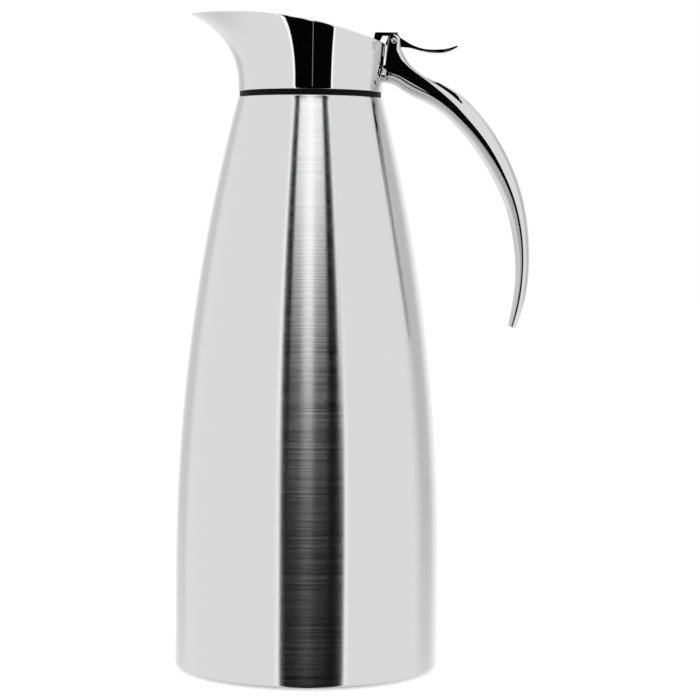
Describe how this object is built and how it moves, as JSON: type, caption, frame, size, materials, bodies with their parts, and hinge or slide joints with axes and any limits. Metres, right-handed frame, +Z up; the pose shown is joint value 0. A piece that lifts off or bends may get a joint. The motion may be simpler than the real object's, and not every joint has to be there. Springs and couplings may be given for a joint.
{
  "type": "thermal carafe",
  "caption": "Tall vacuum-insulated steel carafe with a pouring lip, an open curved handle and a lid tipped by a thumb lever.",
  "frame": {"origin": "Centre of the face that the carafe stands on, on the flask's axis.", "axes": "+Z up along the flask's axis, the pouring lip points along -X and the handle along +X."},
  "size_m": [0.1538, 0.115, 0.2844],
  "materials": {
    "brushed_steel_body": "fine brushing round the body, bright",
    "polished_steel": "mirror polished stainless steel",
    "polished_casting": "mirror polished casting",
    "plain_steel": "satin stainless steel sheet",
    "steel_fastener": "turned stainless steel",
    "spring_wire": "drawn spring wire",
    "black_rubber": "soft black rubber, slight sheen",
    "black_moulding": "black polypropylene moulding",
    "clear_silicone": "translucent white silicone",
    "foam": "rigid insulating foam"
  },
  "bodies": {
    "flask": {"outer_shell": "brushed_steel_body", "outer_base": "plain_steel", "base_pad": "black_rubber", "vacuum_plug": "plain_steel", "getter_cup": "plain_steel", "inner_flask": "plain_steel"},
    "gasket": {"neck_gasket": "black_rubber"},
    "head": {"collar": "polished_steel", "collar_seal": "clear_silicone", "pouring_insert": "black_moulding", "handle_backing_plate": "plain_steel", "handle_screws": "steel_fastener", "handle": "polished_casting", "hinge_pin": "steel_fastener", "pin_cap_nut": "steel_fastener", "lid_spring": "spring_wire"},
    "lid": {"lid_lever": "polished_casting", "lid_cover": "polished_steel", "lid_screws": "steel_fastener", "lid_plug": "black_moulding", "lid_foam": "foam", "lid_seal": "clear_silicone", "seal_retainer": "black_moulding"}
  },
  "joints": [
    {"name": "head_rise", "type": "slide", "parent": "flask", "child": "gasket", "axis": [0, 0, 1], "range_m": [0, 0.0042]},
    {"name": "head_turn", "type": "hinge", "parent": "gasket", "child": "head", "pos_m": [0, 0, 0.2511], "axis": [0, 0, 1], "range_deg": [0, 300]},
    {"name": "lid_hinge", "type": "hinge", "parent": "head", "child": "lid", "pos_m": [0.036, 0, 0.2735], "axis": [0, 1, 0], "range_deg": [0, 27], "stiffness_Nm_per_rad": 0.01, "springref_deg": -28.65, "deforming": ["lid_spring"]}
  ],
  "couplings": [
    {"joint": "head_rise", "follows": "head_turn", "m_per_rad": 0.00079577}
  ]
}
